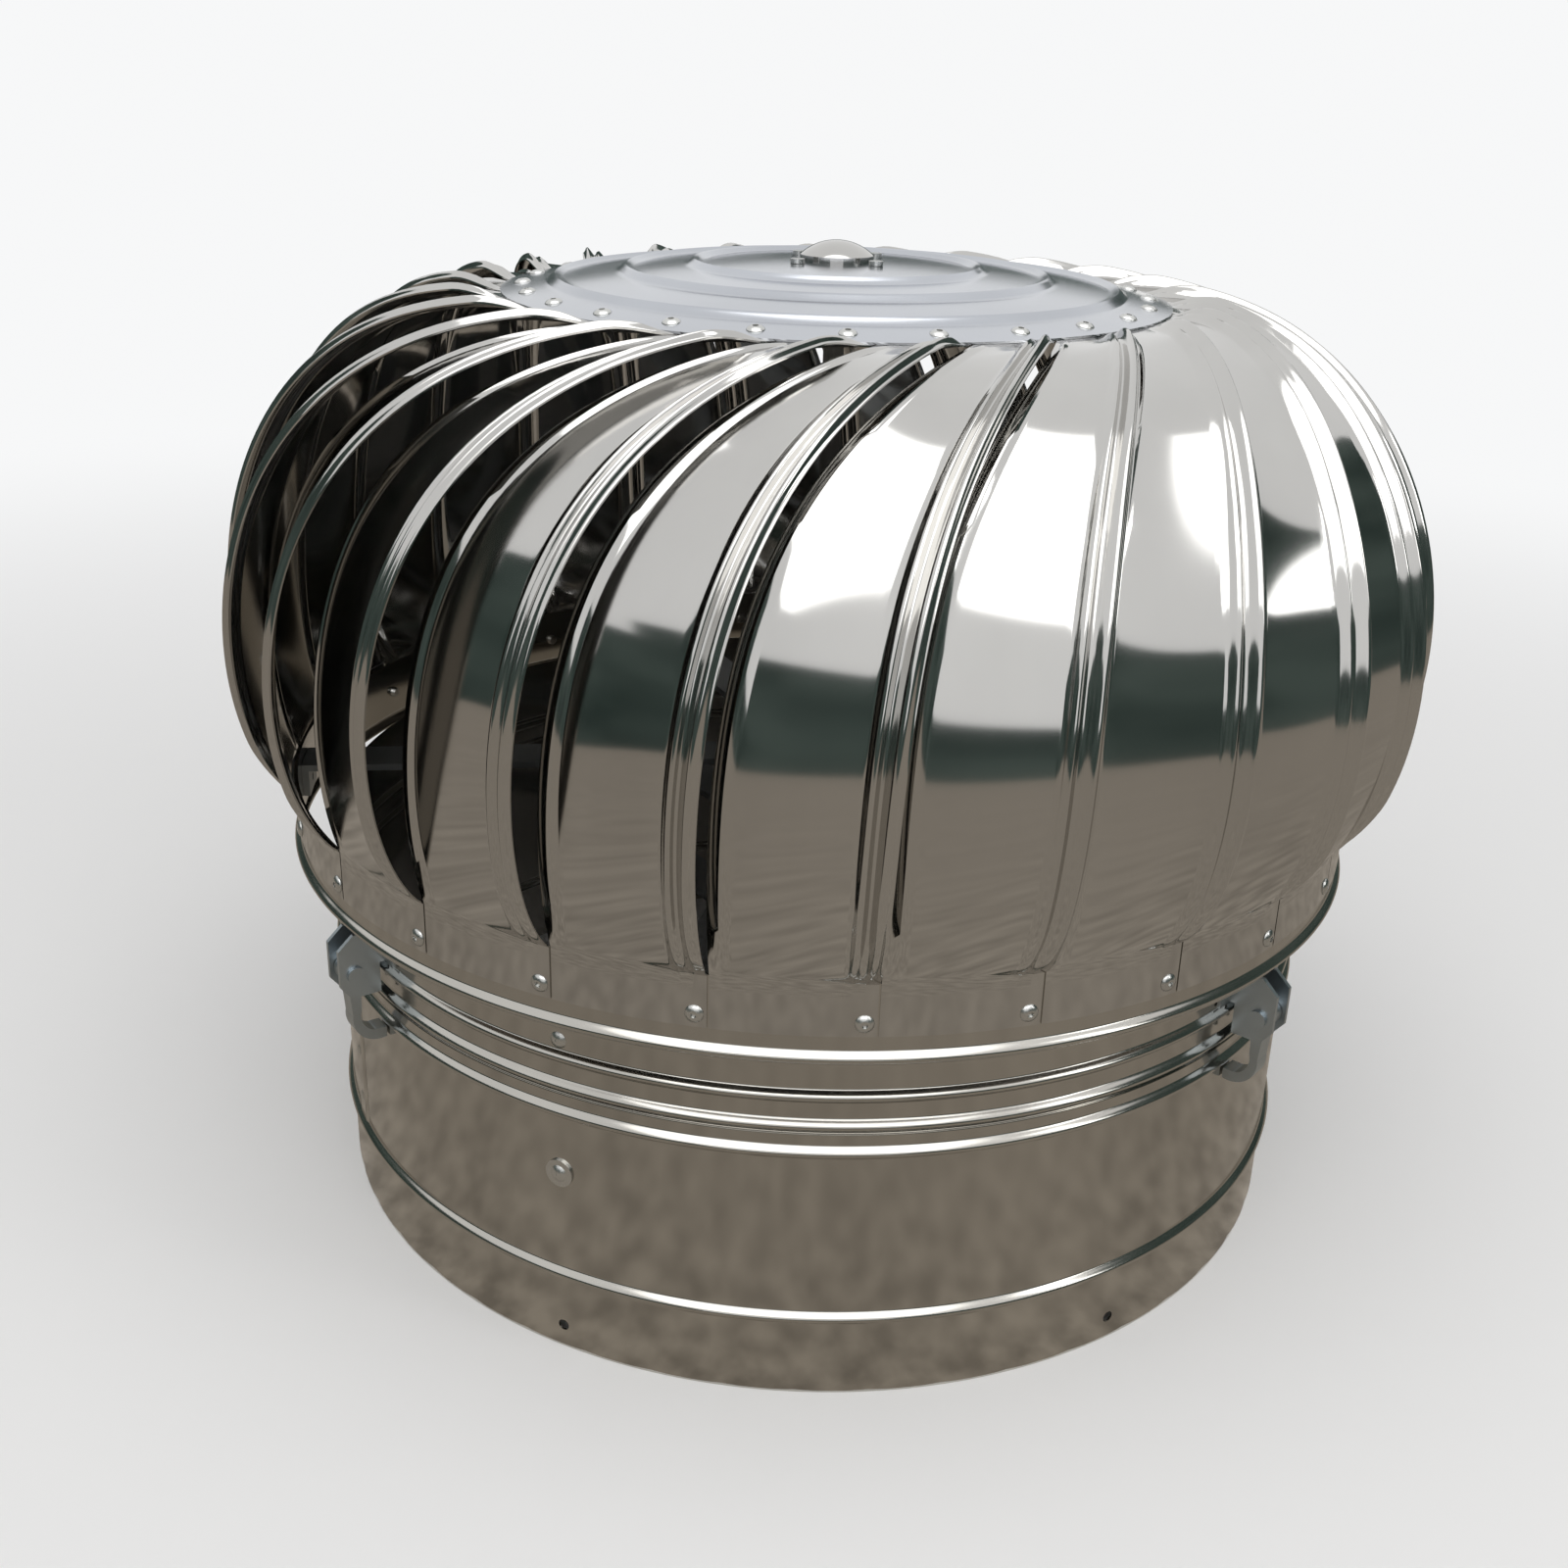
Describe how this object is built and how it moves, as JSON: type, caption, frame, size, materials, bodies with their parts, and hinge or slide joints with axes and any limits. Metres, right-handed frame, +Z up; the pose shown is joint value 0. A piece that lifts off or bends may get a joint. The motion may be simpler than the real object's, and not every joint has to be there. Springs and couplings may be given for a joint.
{
  "type": "roof turbine ventilator",
  "caption": "Wind-driven roof turbine ventilator: a round sheet-steel neck with two latches and a bulbous head of curved vanes that turns on a fixed shaft.",
  "frame": {"origin": "on the neck's axis, in the plane of the neck's bottom rim", "axes": "+Z up along the axis that the head turns on; -Y towards the viewer's side, with the latches at the left and right"},
  "size_m": [0.7029, 0.7034, 0.5598],
  "materials": {
    "stainless_sheet": "bright polished stainless steel sheet",
    "rivet_steel": "plain blind rivets and screws",
    "zinc_latch": "bright zinc-plated pressed steel",
    "galvanised_strip": "galvanised strip",
    "bearing_steel": "ground steel",
    "cast_hub": "turned aluminium"
  },
  "bodies": {
    "neck": {"base_drum": "stainless_sheet", "bearing_lock_nut": "bearing_steel", "drum_seam_rivets": "rivet_steel", "latch_base_left": "zinc_latch", "latch_base_right": "zinc_latch", "latch_pin_left": "zinc_latch", "latch_pin_right": "zinc_latch", "latch_rivets_left": "zinc_latch", "latch_rivets_right": "zinc_latch", "lower_bearing_inner_ring": "bearing_steel", "lower_spider": "galvanised_strip", "neck_collar": "stainless_sheet", "shaft": "bearing_steel", "shaft_collars": "bearing_steel", "shaft_nuts": "bearing_steel", "spider_rivets": "rivet_steel", "upper_bearing_inner_ring": "bearing_steel", "upper_spider": "galvanised_strip"},
    "head": {"bearing_housing": "cast_hub", "blade_01": "stainless_sheet", "blade_02": "stainless_sheet", "blade_03": "stainless_sheet", "blade_04": "stainless_sheet", "blade_05": "stainless_sheet", "blade_06": "stainless_sheet", "blade_07": "stainless_sheet", "blade_08": "stainless_sheet", "blade_09": "stainless_sheet", "blade_10": "stainless_sheet", "blade_11": "stainless_sheet", "blade_12": "stainless_sheet", "blade_13": "stainless_sheet", "blade_14": "stainless_sheet", "blade_15": "stainless_sheet", "blade_16": "stainless_sheet", "blade_17": "stainless_sheet", "blade_18": "stainless_sheet", "blade_19": "stainless_sheet", "blade_20": "stainless_sheet", "blade_21": "stainless_sheet", "blade_22": "stainless_sheet", "blade_23": "stainless_sheet", "blade_24": "stainless_sheet", "blade_25": "stainless_sheet", "blade_rivets": "rivet_steel", "crown_disc": "stainless_sheet", "crown_rivets": "rivet_steel", "hub_cap": "stainless_sheet", "hub_screws": "rivet_steel", "lower_bearing_balls": "bearing_steel", "lower_bearing_outer_ring": "bearing_steel", "rotor_ring": "stainless_sheet", "rotor_spider": "galvanised_strip", "upper_bearing_balls": "bearing_steel", "upper_bearing_outer_ring": "bearing_steel"},
    "claw_left": {"latch_claw_left": "zinc_latch"},
    "claw_right": {"latch_claw_right": "zinc_latch"}
  },
  "joints": [
    {"name": "head_spin", "type": "hinge", "parent": "neck", "child": "head", "pos_m": [0, 0, 0.4], "axis": [0, 0, 1], "continuous": true},
    {"name": "left_latch", "type": "hinge", "parent": "neck", "child": "claw_left", "pos_m": [-0.25365, -0.19114, 0.184], "axis": [-0.6018, 0.7986, 0], "range_deg": [0, 70]},
    {"name": "right_latch", "type": "hinge", "parent": "neck", "child": "claw_right", "pos_m": [0.24682, -0.19987, 0.184], "axis": [-0.6293, -0.7771, 0], "range_deg": [0, 70]}
  ]
}
